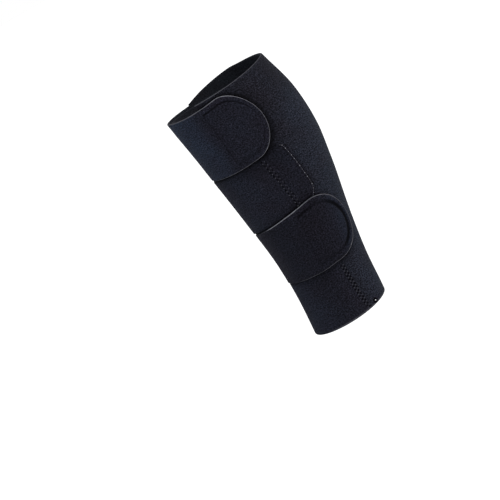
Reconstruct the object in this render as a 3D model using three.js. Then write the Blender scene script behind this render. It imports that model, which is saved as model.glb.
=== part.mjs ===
// Calf compression wrap for the left side: neoprene panels held closed by two hook-backed tabs.
// Millimetres. +Z runs up from the lower rim, -X is the shin side, +X the calf side, -Y the outer side.
// Angles are degrees round the wrap: 0 at the shin side, 90 at the outer side, 180 at the calf side.
import * as THREE from "three";

const { lerp, smoothstep, degToRad } = THREE.MathUtils;

// Driving dimensions
const LAMINATE = 3.0; // neoprene with its face cloths
const TRIM = 1.0; // hook pads and side patch
const GAP = 0.3; // clear space between layers
const SEAM_GAP = 0.2; // half the space at a butted seam, degrees
const PAD_INSET = 4.5; // tab edge to hook pad
const EDGE_BLEND = 2.0; // length over which the panel rises again beside a tab
const SHIN_PRESS = { from: -50, full: -15, ease: 10, end: 62 }; // where the tabs press in, degrees
const PAD_RISE = { start: 12, full: 3 }; // degrees before its pad between which a tab climbs onto it
const FRONT_END = -110; // hidden end of the front panel, degrees
const LAP_START = 231; // the calf panel begins to climb over the front panel's end
const LAP_FULL = 246; // and lies fully on top of it
const TAB_ROOT = -60; // butted seam between the calf panel's end and the tabs
const SEAM_MEAN = 95; // mean angle of the side seam
// Lower rim: mean height, how far it sinks at the shin, and how far at the outer side.
const LOWER_RIM = { middle: 3.4, lean: 3.0, tilt: 2.4 };
const FRONT_TOP = 269.5; // top of the front panel, just below the upper tab's edge
// Side patch: heights, width in degrees behind the seam, and the round of its two back corners.
const PATCH = {
  low: 136.5,
  high: 204.5,
  width: 26.7,
  lowCorner: { height: 20, width: 18 },
  highCorner: { height: 4, width: 5 },
};

// Sections of the wrap's inner face: reach to the shin side and to the calf side, half breadth,
// and how much the widest place lies behind the middle.
const INNER_FACE = [
  { height: -20, shin: 41.5, calf: 40.5, breadth: 34.0, egg: 0.05 },
  { height: 0, shin: 40.0, calf: 41.3, breadth: 34.0, egg: 0.05 },
  { height: 40, shin: 37.5, calf: 43.7, breadth: 35.5, egg: 0.08 },
  { height: 80, shin: 38.0, calf: 47.8, breadth: 40.0, egg: 0.1 },
  { height: 120, shin: 43.0, calf: 54.2, breadth: 47.0, egg: 0.12 },
  { height: 160, shin: 48.3, calf: 61.0, breadth: 53.5, egg: 0.13 },
  { height: 200, shin: 54.2, calf: 65.3, breadth: 57.0, egg: 0.12 },
  { height: 240, shin: 60.2, calf: 63.2, breadth: 56.5, egg: 0.1 },
  { height: 280, shin: 67.0, calf: 52.2, breadth: 54.0, egg: 0.06 },
  { height: 300, shin: 70.0, calf: 45.4, breadth: 53.0, egg: 0.05 },
];

// Seam between the front panel and the calf panel on the outer side.
const SEAM = [
  { height: 0, angle: 115.9 },
  { height: 25, angle: 109.5 },
  { height: 50, angle: 106.2 },
  { height: 100, angle: 97.8 },
  { height: 150, angle: 88.6 },
  { height: 200, angle: 79.7 },
  { height: 245, angle: 68.0 },
  { height: 290, angle: 62.0 },
];

// Upper rim of the calf panel, which comes down on the inner side to the upper tab's edge.
const UPPER_RIM = [
  { angle: 60, height: 278.9 },
  { angle: 80, height: 279.6 },
  { angle: 100, height: 280.6 },
  { angle: 120, height: 282.3 },
  { angle: 140, height: 284.2 },
  { angle: 160, height: 286.0 },
  { angle: 185, height: 286.6 },
  { angle: 220, height: 286.2 },
  { angle: 250, height: 284.6 },
  { angle: 278, height: 279.8 },
  { angle: 300, height: 273.9 },
];

// Tabs: lower and upper edge along the girth, round end, hook pad, and how far the tab presses
// the panel in over the shin side at its lower and upper edge.
const UPPER_TAB = {
  tip: 107,
  round: 24,
  padRoot: 62,
  padInset: 4.0,
  pressLow: 3.3,
  pressHigh: 3.3,
  edges: [
    { angle: -60, low: 200.0, high: 272.5 },
    { angle: 0, low: 197.5, high: 272.0 },
    { angle: 45, low: 198.3, high: 272.2 },
    { angle: 70, low: 200.2, high: 274.0 },
    { angle: 88, low: 203.0, high: 276.2 },
    { angle: 107, low: 205.5, high: 276.2 },
  ],
};
const LOWER_TAB = {
  tip: 145,
  round: 42,
  padRoot: 81.5,
  padInset: 5.2,
  pressLow: 2.5,
  pressHigh: 3.8,
  edges: [
    { angle: -60, low: 63.0, high: 124.0 },
    { angle: 0, low: 62.4, high: 124.8 },
    { angle: 45, low: 62.9, high: 129.6 },
    { angle: 80, low: 64.0, high: 136.0 },
    { angle: 105, low: 66.4, high: 141.0 },
    { angle: 127, low: 65.0, high: 139.5 },
    { angle: 145, low: 61.0, high: 135.0 },
  ],
};

// Value of one column of a table at a place along another, smooth through the rows.
function along(table, key, name, place) {
  const last = table.length - 1;
  if (place <= table[0][key]) return table[0][name];
  if (place >= table[last][key]) return table[last][name];
  const i = table.findIndex((row) => row[key] > place) - 1;
  const slope = (k) => {
    const a = table[Math.max(k - 1, 0)];
    const b = table[Math.min(k + 1, last)];
    return (b[name] - a[name]) / (b[key] - a[key]);
  };
  const span = table[i + 1][key] - table[i][key];
  const t = (place - table[i][key]) / span;
  const h01 = t * t * (3 - 2 * t);
  const h10 = t * (1 - t) * (1 - t) * span;
  const h11 = t * t * (t - 1) * span;
  return (1 - h01) * table[i][name] + h01 * table[i + 1][name] + h10 * slope(i) + h11 * slope(i + 1);
}

const tabLow = (tab, angle) => along(tab.edges, "angle", "low", angle);
const tabHigh = (tab, angle) => along(tab.edges, "angle", "high", angle);
const seamAngle = (height) => along(SEAM, "height", "angle", height);
const SEAM_LOW = seamAngle(LOWER_RIM.middle); // the side seam's two ends
const SEAM_HIGH = seamAngle(UPPER_RIM[0].height);
const upperRim = (angle) => along(UPPER_RIM, "angle", "height", angle);

// The lower rim lies in one slightly tilted plane.
function lowerRim(angle) {
  const a = degToRad(angle);
  return LOWER_RIM.middle - LOWER_RIM.lean * Math.cos(a) - LOWER_RIM.tilt * Math.sin(a);
}

function innerPoint(angle, height) {
  const a = degToRad(angle);
  const shin = along(INNER_FACE, "height", "shin", height);
  const calf = along(INNER_FACE, "height", "calf", height);
  const breadth = along(INNER_FACE, "height", "breadth", height);
  const egg = along(INNER_FACE, "height", "egg", height);
  const x = (calf - shin) / 2 - ((calf + shin) / 2) * Math.cos(a);
  const y = -breadth * Math.sin(a) * (1 - egg * Math.cos(a));
  return new THREE.Vector3(x, y, height);
}

function outward(angle, height) {
  const step = 0.5;
  const round = innerPoint(angle + step, height).sub(innerPoint(angle - step, height));
  const up = innerPoint(angle, height + step).sub(innerPoint(angle, height - step));
  return round.cross(up).normalize();
}

// How far one tab presses the layers in over the shin side.
function tabPress(tab, angle, height) {
  const low = tabLow(tab, angle);
  const high = tabHigh(tab, angle);
  const overShin =
    smoothstep(angle, SHIN_PRESS.from, SHIN_PRESS.full) *
    (1 - smoothstep(angle, SHIN_PRESS.ease, SHIN_PRESS.end));
  const inside =
    smoothstep(height, low - GAP - EDGE_BLEND, low - GAP) *
    (1 - smoothstep(height, high + GAP, high + GAP + EDGE_BLEND));
  const across = Math.min(Math.max((height - low) / (high - low), 0), 1);
  return lerp(tab.pressLow, tab.pressHigh, across) * overShin * inside;
}

// Point of the wrap that lies a given depth outside its inner face.
function wrapPoint(angle, height, depth) {
  const press = tabPress(UPPER_TAB, angle, height) + tabPress(LOWER_TAB, angle, height);
  return innerPoint(angle, height).addScaledVector(outward(angle, height), depth - press);
}

// Closed sheet over a grid of places round the wrap, from an inner depth outwards by its thickness.
function sheetGeometry(columns, rows, place, innerDepth, thickness) {
  const positions = [];
  const faces = [];
  const layerSize = (columns + 1) * (rows + 1);
  const inner = (i, j) => i * (rows + 1) + j;
  const outer = (i, j) => layerSize + inner(i, j);
  for (const layer of [0, 1]) {
    for (let i = 0; i <= columns; i++) {
      for (let j = 0; j <= rows; j++) {
        const { angle, height } = place(i, j);
        const depth = innerDepth(angle, height) + layer * thickness;
        positions.push(...wrapPoint(angle, height, depth).toArray());
      }
    }
  }
  // A quad is split along its shorter diagonal, so that its two faces stay close to the curve.
  const corner = (k) => new THREE.Vector3().fromArray(positions, 3 * k);
  const quad = (a, b, c, d) => {
    const first = corner(a).distanceTo(corner(c));
    const second = corner(b).distanceTo(corner(d));
    if (first <= second) faces.push(a, b, c, a, c, d);
    else faces.push(a, b, d, b, c, d);
  };
  for (let i = 0; i < columns; i++) {
    for (let j = 0; j < rows; j++) {
      quad(outer(i, j), outer(i + 1, j), outer(i + 1, j + 1), outer(i, j + 1));
      quad(inner(i, j), inner(i, j + 1), inner(i + 1, j + 1), inner(i + 1, j));
    }
    quad(outer(i + 1, 0), outer(i, 0), inner(i, 0), inner(i + 1, 0));
    quad(outer(i, rows), outer(i + 1, rows), inner(i + 1, rows), inner(i, rows));
  }
  for (let j = 0; j < rows; j++) {
    quad(outer(0, j), outer(0, j + 1), inner(0, j + 1), inner(0, j));
    quad(outer(columns, j + 1), outer(columns, j), inner(columns, j), inner(columns, j + 1));
  }
  const geometry = new THREE.BufferGeometry();
  geometry.setAttribute("position", new THREE.Float32BufferAttribute(positions, 3));
  geometry.setIndex(faces);
  geometry.computeVertexNormals();
  return geometry;
}

// Depth of the calf panel: on the inner face, then climbing over the front panel's end.
function calfDepth(angle) {
  return (LAMINATE + GAP) * smoothstep(angle, LAP_START, LAP_FULL);
}

function calfPanel() {
  const columns = 28;
  const rows = 20;
  const lastAngle = 360 + TAB_ROOT - SEAM_GAP;
  const place = (i, j) => {
    const low = lowerRim(lerp(SEAM_LOW, lastAngle, i / columns));
    const high = upperRim(lerp(SEAM_HIGH, lastAngle, i / columns));
    const height = lerp(low, high, j / rows);
    const angle = lerp(seamAngle(height) + SEAM_GAP, lastAngle, i / columns);
    return { angle, height };
  };
  return sheetGeometry(columns, rows, place, calfDepth, LAMINATE);
}

// Heights of the front panel's rows: they follow the tabs' edges at one angle, the rim at another.
function frontRows(angle, rimAngle) {
  const bottom = tabLow(LOWER_TAB, angle) - GAP;
  const middle = tabHigh(LOWER_TAB, angle) + GAP;
  const upper = tabLow(UPPER_TAB, angle) - GAP;
  const lines = [
    { height: lowerRim(rimAngle), rows: 4 },
    { height: bottom - EDGE_BLEND, rows: 1 },
    { height: bottom, rows: 5 },
    { height: middle, rows: 1 },
    { height: middle + EDGE_BLEND, rows: 4 },
    { height: upper - EDGE_BLEND, rows: 1 },
    { height: upper, rows: 6 },
    { height: FRONT_TOP, rows: 0 },
  ];
  const heights = [];
  for (let k = 0; k < lines.length - 1; k++) {
    for (let r = 0; r < lines[k].rows; r++) {
      heights.push(lerp(lines[k].height, lines[k + 1].height, r / lines[k].rows));
    }
  }
  heights.push(FRONT_TOP);
  return heights;
}

function frontPanel() {
  const columns = 27;
  const rows = frontRows(0, 0).length - 1;
  const place = (i, j) => {
    const tabAngle = lerp(FRONT_END, SEAM_MEAN, i / columns);
    const rimAngle = lerp(FRONT_END, SEAM_LOW, i / columns);
    const height = frontRows(tabAngle, rimAngle)[j];
    const angle = lerp(FRONT_END, seamAngle(height) - SEAM_GAP, i / columns);
    return { angle, height };
  };
  return sheetGeometry(columns, rows, place, () => 0, LAMINATE);
}

// Place on a round-ended tongue: u runs from its root to its tip, turn from -90 to 90 across it.
function tonguePlace(tab, root, inset, tipInset, u, turn) {
  const across = Math.sin(degToRad(turn));
  const end = tab.tip - tipInset - tab.round * (1 - Math.cos(degToRad(turn)));
  const angle = lerp(root, end, u);
  const low = tabLow(tab, angle) + inset;
  const high = tabHigh(tab, angle) - inset;
  return { angle, height: lerp(low, high, (1 + across) / 2) };
}

// Extra depth of a tab's end, which lies on its hook pad.
function tabLift(tab, angle) {
  return (TRIM + GAP) * smoothstep(angle, tab.padRoot - PAD_RISE.start, tab.padRoot - PAD_RISE.full);
}

function tongue(tab, columns, rows) {
  const place = (i, j) =>
    tonguePlace(tab, TAB_ROOT + SEAM_GAP, 0, 0, i / columns, lerp(-90, 90, j / rows));
  const depth = (angle) => LAMINATE + GAP + tabLift(tab, angle);
  return sheetGeometry(columns, rows, place, depth, LAMINATE);
}

function hookPad(tab, columns, rows) {
  const place = (i, j) =>
    tonguePlace(tab, tab.padRoot, PAD_INSET, tab.padInset, i / columns, lerp(-90, 90, j / rows));
  return sheetGeometry(columns, rows, place, () => LAMINATE + GAP, TRIM);
}

// How far an elliptic corner cuts in at a distance from the end of its edge.
function cornerCut(corner, distance) {
  const room = Math.min(distance / corner.height, 1);
  return corner.width * (1 - Math.sqrt(1 - (1 - room) ** 2));
}

// Patch behind the side seam, with round corners on its back edge; its rows are closer at both ends.
function sidePatch() {
  const columns = 5;
  const rows = 16;
  const place = (i, j) => {
    const height = lerp(PATCH.low, PATCH.high, (1 - Math.cos((Math.PI * j) / rows)) / 2);
    const cut =
      cornerCut(PATCH.lowCorner, height - PATCH.low) + cornerCut(PATCH.highCorner, PATCH.high - height);
    const angle = seamAngle(height) + lerp(1, PATCH.width - cut, i / columns);
    return { angle, height };
  };
  return sheetGeometry(columns, rows, place, () => LAMINATE + GAP, TRIM);
}

const wrap = new THREE.Group();
wrap.name = "calf_compression_wrap";

function addPiece(name, geometry, color, roughness) {
  const material = new THREE.MeshStandardMaterial({ color, roughness, metalness: 0 });
  const mesh = new THREE.Mesh(geometry, material);
  mesh.name = name;
  wrap.add(mesh);
}

addPiece("calf_panel", calfPanel(), 0x1b1e26, 0.95);
addPiece("front_panel", frontPanel(), 0x14161c, 0.9);
addPiece("upper_tab", tongue(UPPER_TAB, 22, 14), 0x15171d, 0.9);
addPiece("lower_tab", tongue(LOWER_TAB, 27, 16), 0x15171d, 0.9);
addPiece("upper_hook_pad", hookPad(UPPER_TAB, 7, 12), 0x0f1014, 0.8);
addPiece("lower_hook_pad", hookPad(LOWER_TAB, 9, 16), 0x0f1014, 0.8);
addPiece("side_patch", sidePatch(), 0x15171d, 0.9);

export default wrap;
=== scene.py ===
"""Calf compression wrap: neoprene panels, two hook-backed tabs, a side patch and their stitching.

Lengths are millimetres until a mesh is made. Angles are degrees round the wrap: 0 at the shin side,
90 at the outer side, 180 at the calf side. Heights run up the wrap from its lower rim. Depths are
distances outwards from its inner face. A smooth step is given by where it begins and where it is full.
"""

import math

import bmesh
import bpy
import numpy as np
from mathutils import Matrix


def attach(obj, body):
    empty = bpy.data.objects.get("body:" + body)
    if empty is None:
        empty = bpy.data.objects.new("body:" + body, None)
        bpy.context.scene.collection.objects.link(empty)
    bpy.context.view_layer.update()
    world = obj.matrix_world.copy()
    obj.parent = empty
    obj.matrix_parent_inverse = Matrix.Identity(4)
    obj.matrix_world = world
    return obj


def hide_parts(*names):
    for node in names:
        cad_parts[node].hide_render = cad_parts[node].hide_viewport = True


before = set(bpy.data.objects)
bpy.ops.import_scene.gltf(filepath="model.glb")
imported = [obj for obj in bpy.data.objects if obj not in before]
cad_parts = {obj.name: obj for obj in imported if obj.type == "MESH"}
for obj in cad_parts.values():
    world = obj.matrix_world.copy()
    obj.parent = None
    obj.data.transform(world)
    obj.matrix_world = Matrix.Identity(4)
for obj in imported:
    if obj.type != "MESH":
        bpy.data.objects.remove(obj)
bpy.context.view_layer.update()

MM = 0.001  # in metres
CM = 10.0  # in millimetres
TINY = 1e-6
FAR = 99.0  # a distance that counts as nothing near

# Sizes and places
LAMINATE = 3.0  # neoprene with its face cloths
TRIM = 1.0  # hook pads and side patch
GAP = 0.3  # clear space between layers
ON_PANEL = LAMINATE + GAP  # depth of what lies on the panels
TRIM_DEPTHS = ON_PANEL, ON_PANEL + TRIM
SEAM_GAP = 0.06  # half the space at a butted seam, degrees
PAD_INSET = 4.5  # tab edge to hook pad
EDGE_BLEND = 2.0  # length over which the panel rises again beside a tab
SHIN_PRESS = (-50, -15), (10, 62)  # angles where the tabs begin to press in, and where they let go
PAD_RISE = (-12, -3)  # degrees from its pad's root over which a tab climbs onto it
OVER_PATCH, UP_PATCH = (6.0, 1.0, 8.0), (6.0, 1.0)  # degrees and heights of a tab's climb over the patch
ONTO_PATCH = (0.2, 1.4)  # degrees behind the seam where its stitches climb onto the patch
FRONT_END = -110.0  # hidden end of the front panel
LAP_START, LAP_FULL = 231.0, 246.0  # where the calf panel climbs over the front panel's end
TAB_ROOT = -60.0  # butted seam between the calf panel's end and the tabs
LOWER_RIM = (2.8, 3.0, 2.4)  # mean height, and how far it sinks at the shin and outer sides
FRONT_TOP = 269.5
PATCH_LOW, PATCH_HIGH = 136.5, 204.5
PATCH_START, PATCH_WIDTH = 1.0, 26.7  # its two long edges, degrees behind the side seam
PATCH_LOW_CORNER, PATCH_HIGH_CORNER = (20.0, 18.0), (4.0, 5.0)  # height and degrees of the rounds
PATCH_GIRTH = 1.1  # length of one degree beside the patch
TAB_HALF, PAD_HALF = 36.5, 32.0  # half of a tab's and of a pad's height
ROOT_INSET, ROOT_TILT = 1.9, 0.05  # a pad's stitched root: degrees inside the pad, lean per millimetre
ROOT_WITHIN = 4.0  # how much further in than the stitched outline that root lies

INNER_FACE = {
    "height": [-20, 0, 40, 80, 120, 160, 200, 240, 280, 300],
    "shin": [41.5, 40.0, 37.5, 38.0, 43.0, 48.3, 54.2, 60.2, 67.0, 70.0],
    "calf": [40.5, 41.3, 43.7, 47.8, 54.2, 61.0, 65.3, 63.2, 52.2, 45.4],
    "breadth": [34.0, 34.0, 35.5, 40.0, 47.0, 53.5, 57.0, 56.5, 54.0, 53.0],
    "egg": [0.05, 0.05, 0.08, 0.10, 0.12, 0.13, 0.12, 0.10, 0.06, 0.05],
}
SEAM = {
    "height": [0, 25, 50, 100, 150, 200, 245, 290],
    "angle": [115.9, 109.5, 106.2, 97.8, 88.6, 79.7, 68.0, 62.0],
}
UPPER_RIM = {
    "angle": [60, 80, 100, 120, 140, 160, 185, 220, 250, 278, 300],
    "height": [278.9, 279.6, 280.6, 282.3, 284.2, 286.0, 286.6, 286.2, 284.6, 279.8, 273.9],
}
UPPER_TAB = {
    "angle": [-60, 0, 45, 70, 88, 107],
    "low": [200.0, 197.5, 198.3, 200.2, 203.0, 205.5],
    "high": [272.5, 272.0, 272.2, 274.0, 276.2, 276.2],
    "middle": 238.0,
    "tip": 107.0,
    "round": 24.0,
    "pad_root": 62.0,
    "pad_inset": 4.0,
    "press": (3.3, 3.3),
    "girth": 1.08,  # mean length of one degree
    "stitch": 6.4,  # edge to the pad's stitch line
    "groove": (0.35, 0.9),  # depth and half width of the stitched groove
    "groove_top": (1.0, (98, 112)),  # its strength along the top, and the angles where that fades out
    "groove_end": (0.0, (90, 107)),  # its strength round the end, and the angles where that begins
    "shade": (0.8, 0.3),  # how dark the groove's painted shade is along the outline and along the root
    "root": 0.35,  # depth of the stitched line along the root
    "crown": 0.45,  # rise of the padded end inside the groove
    "pale_at": [-60, 40, 50, 64, 72, 82, 88, 95, 107],  # angles, and how pale the two cut edges are there: partly the foam's own paleness, partly painted highlight and shade
    "pale_low": [0.25, 0.4, 0.48, 0.48, 0.4, 0.62, 0.7, 1.0, 0.85],
    "pale_high": [0.25, 0.25, 0.32, 0.42, 0.4, 0.6, 0.66, 0.95, 0.9],
    "pale_wide": 0.0,  # how much wider the pale line is at the tip
    "faded": (1.0, 0.0),  # how much painted bluish light the free part and the tip get
    "dark": 0.0,  # how much darker the tab is over the angles of END_DARK, a plain darkening
    "reach": (0.6, 1.6, 2.6),  # how much further the tab's shade reaches below, ahead and below ahead
}
LOWER_TAB = {
    "angle": [-60, 0, 45, 80, 105, 127, 145],
    "low": [63.0, 62.4, 62.9, 64.0, 66.4, 65.0, 61.0],
    "high": [124.0, 124.8, 129.6, 136.0, 141.0, 139.5, 135.0],
    "middle": 102.0,
    "tip": 145.0,
    "round": 42.0,
    "pad_root": 81.5,
    "pad_inset": 5.2,
    "press": (2.5, 3.8),
    "girth": 0.86,
    "stitch": 7.6,
    "groove": (1.0, 1.8),
    "groove_top": (0.7, (96, 110)),
    "groove_end": (1.0, (112, 130)),
    "shade": (1.0, 0.0),
    "root": 0.0,
    "crown": 0.5,
    "pale_at": [-60, 41, 48, 66, 82, 92, 102, 112, 120, 130, 140],
    "pale_low": [0.12, 0.12, 0.4, 0.42, 0.42, 0.7, 0.8, 0.85, 0.95, 0.5, 0.5],
    "pale_high": [0.12, 0.12, 0.72, 0.77, 0.75, 0.52, 0.34, 0.34, 0.45, 0.28, 0.24],
    "pale_wide": 1.0,
    "faded": (0.0, 0.35),
    "dark": 0.2,
    "reach": (-0.25, 0.3, 0.8),
}
TABS = {"upper": UPPER_TAB, "lower": LOWER_TAB}

# Edges and grids: lengths with their steps
CUT_RADIUS = 1.15  # rounding of a cut laminate edge
SEAM_RADIUS = 0.15  # rounding at a butted seam
PAD_RADIUS, PATCH_RADIUS = 0.3, 0.4
CUT_BAND = 0.75  # width of the pale line that a cut edge shows on its face, partly the foam's own paleness and partly painted highlight
LOW_BAND, LOW_PALE = 2.4, 0.2  # width of that line at the lower rim, and how pale it is there
EDGE_STEPS = np.array([0.0, 0.1, 0.3, 0.6, 1.0, 1.5, 2.1])
GROOVE_ROWS = np.arange(2.6, 11.0, 0.42)
MIDDLE_ROWS = np.linspace(11.6, TAB_HALF, 18)
PAD_ROWS = np.concatenate([[1.0, 0.985, 0.96], np.linspace(0.92, 0.0, 14)])
CALF_GRID = (205.0, 1.4), (281.0, 1.5)
FRONT_GRID = (200.0, 1.9), (266.0, 1.3)
PATCH_GRID = (27.0, 1.2), (PATCH_HIGH - PATCH_LOW, 1.0)
TAB_STEP, PAD_STEP, OUTLINE_STEP = 0.85, 2.0, 0.8
END_RUN = 105.0  # length round a tab's end
ROOT_PLACES = 60  # places along a pad's stitched root
ROOT_PAST = 1.0  # how far past a tab's edges its root counts as butted

# Relief of the cloth: three waves, with their rise, turns, phase per millimetre up and sway
RIPPLES = [(0.16, 5.0, 0.031, 0.0), (0.12, 0.0, 0.105, 2.0), (0.08, 9.0, -0.07, 0.0)]
CALF_SLACK = (0, 14), (104, 130)  # edge distance and angle over which ripples grow
LAP_CALM = 12.0  # degrees before the lap without ripples
TAB_RIPPLE, TAB_CLOSER = 0.6, 1.3  # a tab's ripples: their height, and how much closer they lie
TAB_SLACK = (3, 16), (0, 20)  # edge and root distance over which they grow
PULL_FROM, PULL_GIRTH = (96.0, 243.0), 1.05  # where pull lines fan out from, a degree's length
PULL_NEAR, PULL_PAST, PULL_BEHIND = (16, 22), (26, 44), (4, 14)  # distances where they rise, fall, begin
PULL_RISE, PULL_FOLDS = 0.22, 26.0
PAD_EASE = 0.35, (0.6, 4.2)  # share of a tab's lift at its edge, and where it is whole
GROOVE_WIDER, GROOVE_LEAST = 0.3, 0.28  # how much wider it is at the end, and its least strength
GROOVE_START, GROOVE_TOP = (-0.8, 0.8), (2, 24)  # distance past the root, height above the middle
ROOT_LINE, ROOT_ENDS = 0.6, (-1.0, 0.0)  # the root's line: half width, and where it meets the outline
CROWN_RISE = (0.2, 2.6)  # distance inside the groove over which the crown rises

# Painted shade and light, plain darkening and pale edges: how dark, pale or light, and over what distance,
# height or angle
SHADE_LESS = 2.5, (106, 118)  # how much shorter a tab's shade is above its end
CALF_RIM_PALE, CALF_BACK_LESS = 0.25, (0.1375, (128, 156))  # upper rim, and how much less behind
# Calf panel: painted shade beside the side seam and towards the top by the upper tab's end, and painted
# bluish light towards the calf side
CALF_SEAM_SHADE, CALF_TOP_SHADE, CALF_PAINTED_LIGHT = (0.28, (16, 1)), (0.22, (222, 262)), (0.3, (95, 145))
# Front panel: how pale its lower band is, and painted bluish light towards the shin side
FRONT_PALE, FRONT_PAINTED_LIGHT = (LOW_PALE, (35, 75)), (0.22, (85, 40))
# Front panel: darker towards the bottom, between the shin side and the seam
FRONT_DARK, FRONT_DARK_ROUND = (0.22, (76, 52)), ((30, 70), (84, 104))
PALE_MIX = 12.0  # half the height over which a tab's two edges mix
FREE_LIGHT_END = (-15, 2)  # degrees from the pad's root over which the painted light ends
FREE_ROUND, FREE_UP = (0.45, (-45, 20)), (0.7, (205, 245))  # least painted light, and where it is whole
TIP_LIGHT, TIP_BAND = (-34, -16), (-25, -10)  # degrees from the tip
# angles where a tab's plain darkening rises and where it falls
END_DARK = (20, 55), (92, 122)
PATCH_GROOVE_SHADE = 0.25, 2.1, 0.6  # painted shade of a groove inside its back edge: how dark, how far in, half width
# painted shade along the patch's back edge: how dark, and where it begins and is full
PATCH_EDGE_SHADE = 0.7, (0.8, 0.3)
PLAIN = {"pale": 1.0, "pressed": 0.0, "faded": 0.0, "clear": FAR}  # shares where nothing else is said


def smooth(x, begins, full):
    """Smooth step: 0 until it begins, 1 once it is full, a cubic between."""
    t = np.clip((x - begins) / (full - begins), 0.0, 1.0)
    return t * t * (3.0 - 2.0 * t)


def within(x, rise, fall):
    """Smooth step up and, further on, a smooth step down."""
    return smooth(x, *rise) * (1.0 - smooth(x, *fall))


def shade(x, most, step):
    """Smooth step up to a most instead of 1."""
    return most * smooth(x, *step)


def grown(x, least, step):
    """Smooth step that starts at a least instead of 0."""
    return least + (1.0 - least) * smooth(x, *step)


def along(table, key, name, place):
    """Cubic through a table's rows; a row's slope is that of the chord between its neighbours."""
    x = np.asarray(table[key], float)
    y = np.asarray(table[name], float)
    row = np.arange(len(x))
    before, after = np.maximum(row - 1, 0), np.minimum(row + 1, len(x) - 1)
    slope = (y[after] - y[before]) / (x[after] - x[before])
    p = np.clip(place, x[0], x[-1])
    i = np.clip(np.searchsorted(x, p, side="right") - 1, 0, len(x) - 2)
    span = x[i + 1] - x[i]
    t = (p - x[i]) / span
    rise = t * t * (3.0 - 2.0 * t)
    curve = span * t * (1.0 - t) * ((1.0 - t) * slope[i] - t * slope[i + 1])
    return (1.0 - rise) * y[i] + rise * y[i + 1] + curve


def seam_angle(height):
    """Angle of the side seam, along its table."""
    return along(SEAM, "height", "angle", height)


def lower_rim(angle):
    """The lower rim lies in a tilted plane: its mean height less a cosine and a sine of the angle."""
    a = np.radians(angle)
    return LOWER_RIM[0] - LOWER_RIM[1] * np.cos(a) - LOWER_RIM[2] * np.sin(a)


def upper_rim(angle):
    """Height of the upper rim, along its table."""
    return along(UPPER_RIM, "angle", "height", angle)


SEAM_LOW, SEAM_HIGH = seam_angle(LOWER_RIM[0]), seam_angle(UPPER_RIM["height"][0])


def inner_point(angle, height):
    """Egg-shaped section: a cosine from shin to calf side, a sine across, fuller behind the middle."""
    a = np.radians(angle)
    shin, calf, breadth, egg = (
        along(INNER_FACE, "height", name, height) for name in ("shin", "calf", "breadth", "egg")
    )
    x = (calf - shin) / 2.0 - (calf + shin) / 2.0 * np.cos(a)
    y = -breadth * np.sin(a) * (1.0 - egg * np.cos(a))
    return np.stack([x, y, height + 0.0 * a], axis=-1)


def outward(angle, height):
    """Unit normal of the inner face: the step round crossed with the step up."""
    round_step = inner_point(angle + 0.5, height) - inner_point(angle - 0.5, height)
    up_step = inner_point(angle, height + 0.5) - inner_point(angle, height - 0.5)
    normal = np.cross(round_step, up_step)
    return normal / np.linalg.norm(normal, axis=-1, keepdims=True)


def tab_press(tab, angle, height):
    """How far a tab presses the layers in over the shin side, with a short rise beside its edges."""
    low = along(tab, "angle", "low", angle)
    high = along(tab, "angle", "high", angle)
    beside_low = (low - GAP - EDGE_BLEND, low - GAP)
    beside_high = (high + GAP, high + GAP + EDGE_BLEND)
    across = np.clip((height - low) / (high - low), 0.0, 1.0)
    press = tab["press"][0] + (tab["press"][1] - tab["press"][0]) * across
    return press * within(angle, *SHIN_PRESS) * within(height, beside_low, beside_high)


def wrap_point(angle, height, depth):
    """Point of the inner face moved out along its normal by the depth, less what the tabs press in."""
    angle, height = np.broadcast_arrays(np.asarray(angle, float), np.asarray(height, float))
    press = sum(tab_press(tab, angle, height) for tab in TABS.values())
    reach = np.asarray(depth - press)[..., None]
    return inner_point(angle, height) + outward(angle, height) * reach


def girth_per_degree(angle, height):
    """Length of one degree round the inner face, from the points half a degree to each side."""
    step = inner_point(angle + 0.5, height) - inner_point(angle - 0.5, height)
    return np.linalg.norm(step, axis=-1)


def run_length(points):
    """Length along the first axis of a grid of points, from its first column."""
    steps = np.linalg.norm(np.diff(points, axis=0), axis=-1)
    return np.concatenate([np.zeros_like(steps[:1]), np.cumsum(steps, axis=0)])


def rounded(distance, radius):
    """Drop of a face near its edge: a quarter circle of the radius."""
    gone = np.clip(radius - distance, 0.0, radius)
    return radius - np.sqrt(radius**2 - gone**2)


def border_fine(length, step):
    """Places from 0 to 1 along a length: fine steps at both ends and even steps between."""
    count = max(int((length - 2 * EDGE_STEPS[-1]) / step), 2)
    middle = np.linspace(EDGE_STEPS[-1], length - EDGE_STEPS[-1], count + 1)[1:-1]
    return np.concatenate([EDGE_STEPS, middle, (length - EDGE_STEPS)[::-1]]) / length


def border_grid(sides):
    """Shares across and up a sheet, with fine steps at its borders."""
    return np.meshgrid(*(border_fine(length, step) for length, step in sides), indexing="ij")


def finish_piece(piece, slot, *nodes):
    """Puts a finished piece on the part's body and hides the model's parts that it stands in for."""
    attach(piece, "root")
    if nodes:
        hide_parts(*nodes)
    return piece


def mesh_object(name, points, faces, material_index, finishes, uv=None, shares=()):
    """Mesh of quads from whole arrays, points in millimetres, with a cloth map in centimetres."""
    mesh = bpy.data.meshes.new(name)
    mesh.from_pydata((points * MM).astype(np.float32), [], faces, shade_flat=False)
    mesh.polygons.foreach_set("material_index", material_index.astype(np.int32))
    if uv is not None:
        layer = mesh.uv_layers.new(name="cloth")
        layer.data.foreach_set("uv", (uv[faces.ravel()] / CM).astype(np.float32).ravel())
    for label, values in dict(shares).items():
        share = mesh.attributes.new(label, "FLOAT", "POINT")
        share.data.foreach_set("value", values.astype(np.float32).ravel())
    mesh.validate()
    for finish in finishes:
        mesh.materials.append(finish)
    piece = bpy.data.objects.new(name, mesh)
    bpy.context.scene.collection.objects.link(piece)
    return piece


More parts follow.
